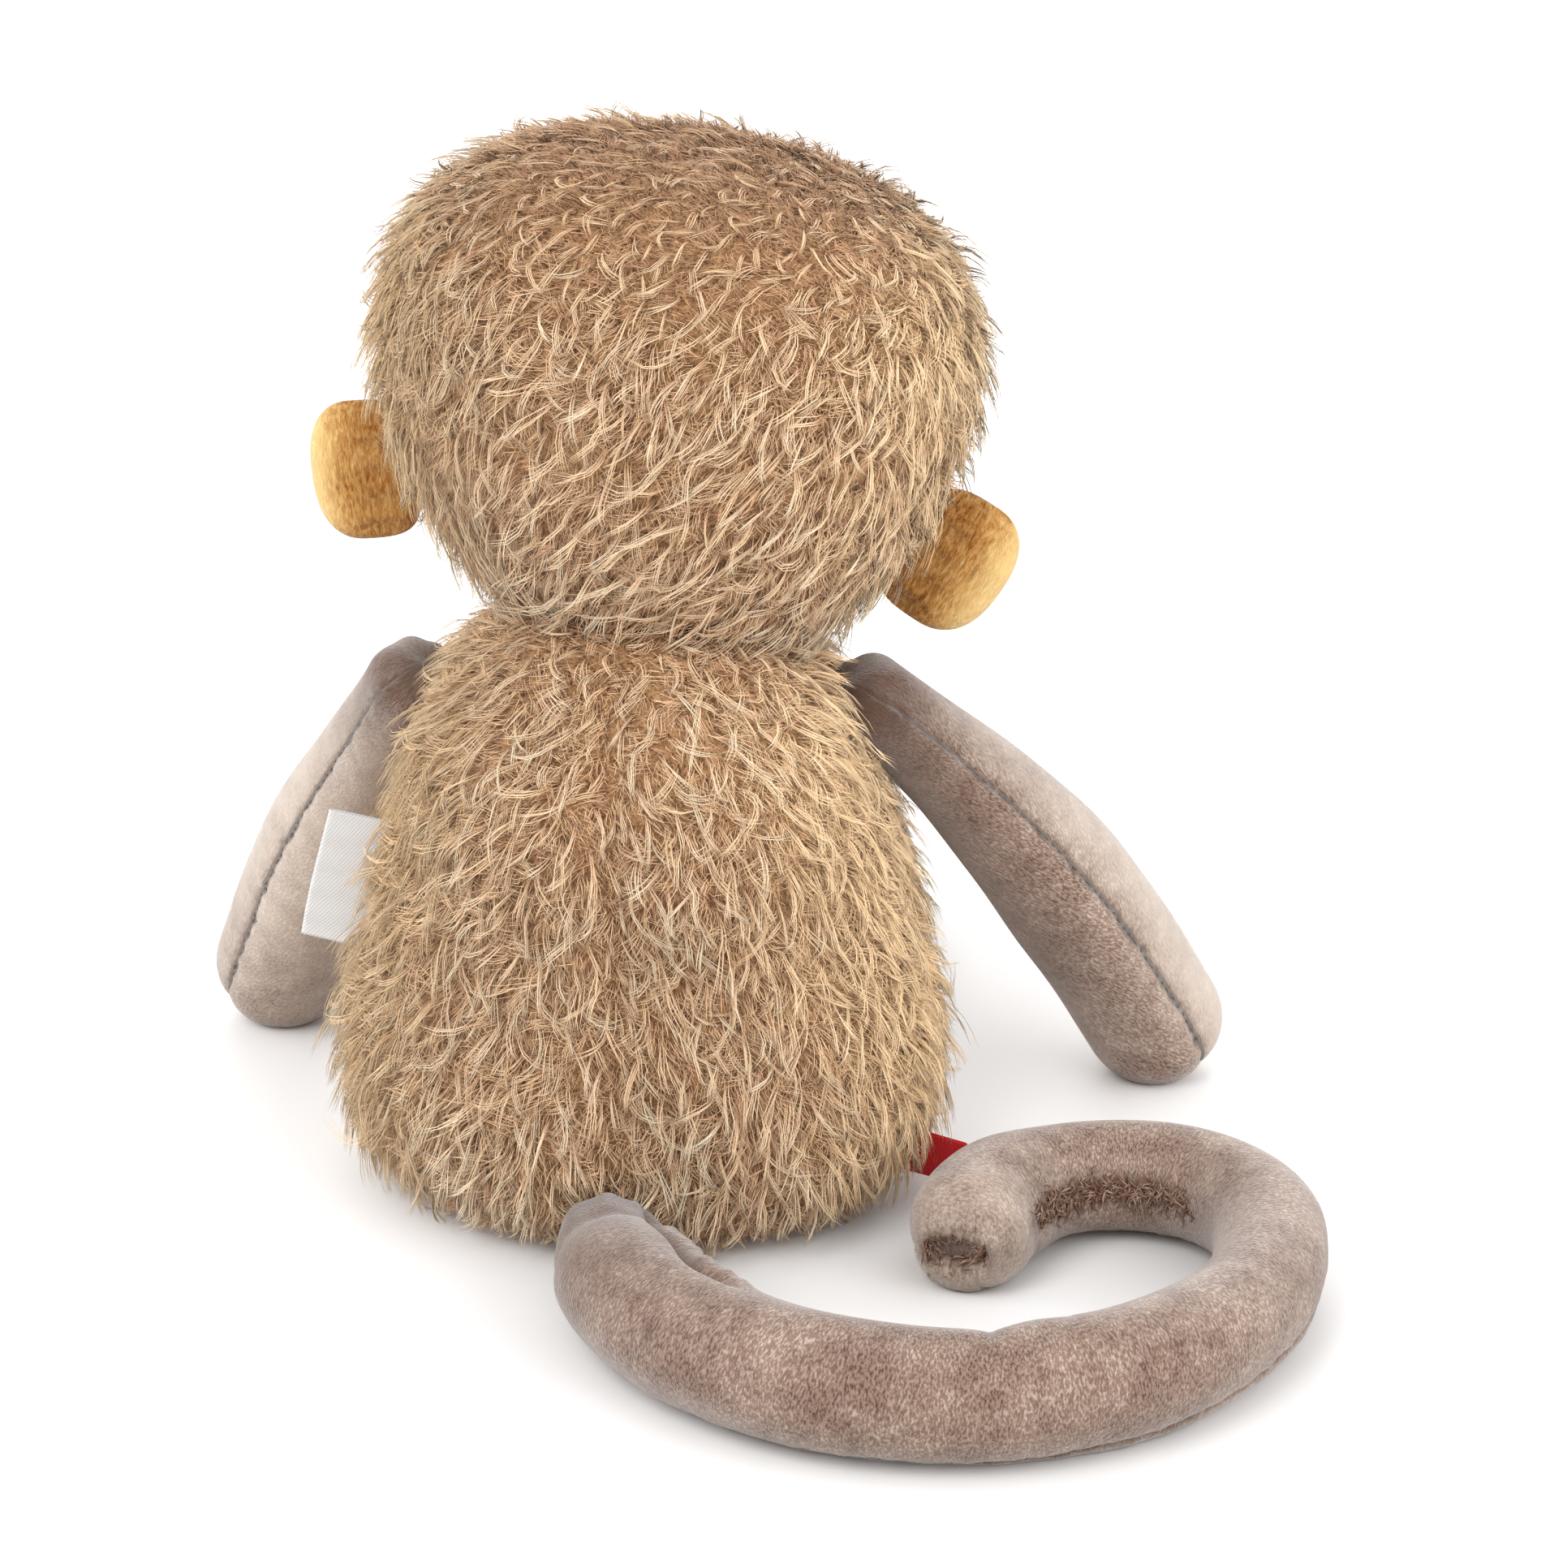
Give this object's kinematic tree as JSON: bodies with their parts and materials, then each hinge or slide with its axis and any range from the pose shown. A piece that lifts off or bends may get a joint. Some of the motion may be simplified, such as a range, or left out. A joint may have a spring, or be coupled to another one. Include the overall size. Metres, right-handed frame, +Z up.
{
  "type": "plush monkey",
  "caption": "Seated stuffed monkey with a shaggy caramel body and head, taupe velvety arms, legs and long curled tail, mustard ears and bare sewn-in labels.",
  "frame": {"origin": "middle of the flat underside that the toy sits on", "axes": "+Z up, the toy's face looks along -Y and its own left hand is at +X; the tail leaves along +Y and curls towards -X"},
  "size_m": [0.2898, 0.3182, 0.2588],
  "materials": {
    "fur": "long curly pile, caramel with pale golden tips",
    "plush": "short velvety nap, taupe",
    "ear_plush": "short velvety nap, mustard with pale rims",
    "face_plush": "short velvety nap",
    "stuffing": "loose white fibre filling",
    "pellets": "bag of small pellets",
    "thread": "strong sewing thread",
    "satin": "bare white satin, woven in a fine twill",
    "ribbon": "bare red ribbon with a dull sheen",
    "eye_plastic": "polished, near black",
    "washer_plastic": "moulded, plain",
    "nose_thread": "satin-stitched thread"
  },
  "bodies": {
    "torso": {"body_back_left": "fur", "body_back_right": "fur", "body_front": "fur", "seat_panel": "plush", "body_stuffing": "stuffing", "pellet_pouch": "pellets"},
    "neck": {"neck_thread": "thread"},
    "head": {"head_back": "fur", "head_side_left": "fur", "head_side_right": "fur", "face_panel": "face_plush", "head_stuffing": "stuffing", "muzzle": "face_plush", "muzzle_stuffing": "stuffing", "nose": "nose_thread", "eye_left": "eye_plastic", "eye_right": "eye_plastic", "eye_washer_left": "washer_plastic", "eye_washer_right": "washer_plastic"},
    "ear_left": {"ear_left_front": "ear_plush", "ear_left_back": "ear_plush", "ear_left_batting": "stuffing"},
    "arm_left": {"arm_left_outer": "plush", "arm_left_inner": "plush", "arm_left_stuffing": "stuffing"},
    "leg_left": {"leg_left_upper": "plush", "leg_left_lower": "plush", "leg_left_stuffing": "stuffing"},
    "ear_right": {"ear_right_front": "ear_plush", "ear_right_back": "ear_plush", "ear_right_batting": "stuffing"},
    "arm_right": {"arm_right_outer": "plush", "arm_right_inner": "plush", "arm_right_stuffing": "stuffing"},
    "leg_right": {"leg_right_upper": "plush", "leg_right_lower": "plush", "leg_right_stuffing": "stuffing"},
    "tail": {"tail_root_upper": "plush", "tail_root_lower": "plush", "tail_root_stuffing": "stuffing"},
    "tail_end": {"tail_end_upper": "plush", "tail_end_lower": "plush", "tail_end_stuffing": "stuffing"},
    "side_label": {"side_label": "satin"},
    "red_tag": {"red_tag": "ribbon"}
  },
  "joints": [
    {"name": "head_turn", "type": "hinge", "parent": "torso", "child": "neck", "pos_m": [0, 0.005, 0.101], "axis": [0, 0, -1], "range_deg": [-35, 35]},
    {"name": "head_nod", "type": "hinge", "parent": "neck", "child": "head", "pos_m": [0, 0.005, 0.101], "axis": [-1, 0, 0], "range_deg": [-15, 12]},
    {"name": "ear_left_fold", "type": "hinge", "parent": "head", "child": "ear_left", "pos_m": [0.06238, -0.01, 0.17433], "axis": [0.3105, 0, 0.9506], "range_deg": [-20, 20], "stiffness_Nm_per_rad": 0.01},
    {"name": "ear_right_fold", "type": "hinge", "parent": "head", "child": "ear_right", "pos_m": [-0.06933, -0.01, 0.15815], "axis": [-0.5312, 0, 0.8472], "range_deg": [-20, 20], "stiffness_Nm_per_rad": 0.01},
    {"name": "arm_left_swing", "type": "hinge", "parent": "torso", "child": "arm_left", "pos_m": [0.0545, -0.003, 0.123], "axis": [-0.9188, 0.1349, -0.3709], "range_deg": [-6, 70]},
    {"name": "arm_right_swing", "type": "hinge", "parent": "torso", "child": "arm_right", "pos_m": [-0.0545, -0.003, 0.123], "axis": [-0.9188, -0.1349, 0.3709], "range_deg": [-6, 70]},
    {"name": "leg_left_raise", "type": "hinge", "parent": "torso", "child": "leg_left", "pos_m": [0.032, -0.06138, 0.0155], "axis": [-1, 0, 0], "range_deg": [-5, 38]},
    {"name": "leg_right_raise", "type": "hinge", "parent": "torso", "child": "leg_right", "pos_m": [-0.032, -0.06138, 0.0155], "axis": [-1, 0, 0], "range_deg": [-5, 38]},
    {"name": "tail_swing", "type": "hinge", "parent": "torso", "child": "tail", "pos_m": [0, 0.06915, 0.013], "axis": [0, 0, -1], "range_deg": [-4, 45]},
    {"name": "tail_curl", "type": "hinge", "parent": "tail", "child": "tail_end", "pos_m": [-0.13475, 0.11485, 0.01469], "axis": [0, 0, 1], "range_deg": [-25, 30]},
    {"name": "label_flip", "type": "hinge", "parent": "torso", "child": "side_label", "pos_m": [0.06853, 0.008, 0.06], "axis": [-0.2953, 0, 0.9554], "range_deg": [-35, 35], "stiffness_Nm_per_rad": 0.002},
    {"name": "tag_flip", "type": "hinge", "parent": "torso", "child": "red_tag", "pos_m": [-0.06269, 0.008, 0.0055], "axis": [-0.5454, 0, 0.8381], "range_deg": [-35, 35], "stiffness_Nm_per_rad": 0.002}
  ]
}
